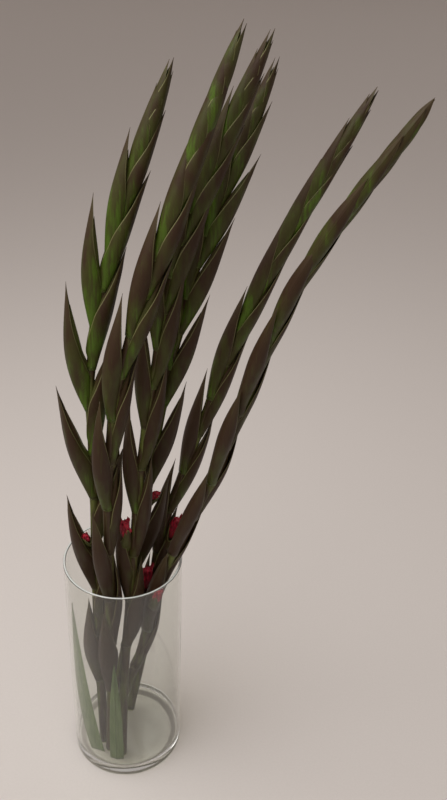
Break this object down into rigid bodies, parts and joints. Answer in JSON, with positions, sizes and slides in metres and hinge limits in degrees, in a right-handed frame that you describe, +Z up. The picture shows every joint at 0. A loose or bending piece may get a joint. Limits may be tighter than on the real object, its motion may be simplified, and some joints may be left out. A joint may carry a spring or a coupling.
{
  "type": "cut gladioli in a glass vase",
  "caption": "Cut gladiolus flower spikes in tight bud with two cut leaf blades, leaning together in a clear glass cylinder vase.",
  "frame": {"origin": "centre of the vase's flat underside", "axes": "+Z up the vase, +X towards the side that the spikes lean to, +Y away from the front"},
  "size_m": [0.2423, 0.1078, 0.6543],
  "materials": {
    "glass": "clear soda-lime glass with a fire-polished rim and a thick base",
    "stem": "fresh green stem, smooth and faintly waxy, fibrous where it is cut",
    "bract": "leathery bract, brown-purple over olive green with a thin pale green margin, satin",
    "young_bract": "young overlapping bracts, bright green low down and dark purple-brown at the tips and backs, satin",
    "petal": "crimson petal edges, soft and slightly crumpled",
    "leaf": "sword-shaped leaf, grey-green with fine lengthwise veins, matt"
  },
  "bodies": {
    "root": {"vase": "glass", "leaf_left": "leaf", "leaf_front": "leaf", "spike_a_stem": "stem", "spike_a_tip": "young_bract", "spike_a_bract_10": "bract", "spike_a_bract_11": "bract", "spike_a_bract_12": "bract", "spike_a_petals_13": "petal", "spike_a_bract_13": "bract", "spike_a_petals_14": "petal", "spike_a_bract_14": "bract", "spike_a_bract_15": "bract", "spike_b_stem": "stem", "spike_b_tip": "young_bract", "spike_b_bract_11": "bract", "spike_b_bract_12": "bract", "spike_b_bract_13": "bract", "spike_b_bract_14": "bract", "spike_b_bract_15": "bract", "spike_b_bract_16": "bract", "spike_c_stem": "stem", "spike_c_tip": "young_bract", "spike_c_bract_11": "bract", "spike_c_bract_12": "bract", "spike_c_bract_13": "bract", "spike_c_bract_14": "bract", "spike_c_petals_15": "petal", "spike_c_bract_15": "bract", "spike_c_bract_16": "bract", "spike_d_stem": "stem", "spike_d_tip": "young_bract", "spike_d_bract_11": "bract", "spike_d_bract_12": "bract", "spike_d_bract_13": "bract", "spike_d_petals_14": "petal", "spike_d_bract_14": "bract", "spike_d_bract_15": "bract", "spike_d_petals_16": "petal", "spike_d_bract_16": "bract", "spike_e_stem": "stem", "spike_e_tip": "young_bract", "spike_e_bract_11": "bract", "spike_e_bract_12": "bract", "spike_e_bract_13": "bract", "spike_e_bract_14": "bract", "spike_e_petals_15": "petal", "spike_e_bract_15": "bract", "spike_e_bract_16": "bract", "spike_f_stem": "stem", "spike_f_tip": "young_bract", "spike_f_bract_12": "bract", "spike_f_bract_13": "bract", "spike_f_bract_14": "bract", "spike_f_bract_15": "bract", "spike_f_petals_16": "petal", "spike_f_bract_16": "bract", "spike_f_bract_17": "bract"}
  },
  "joints": []
}
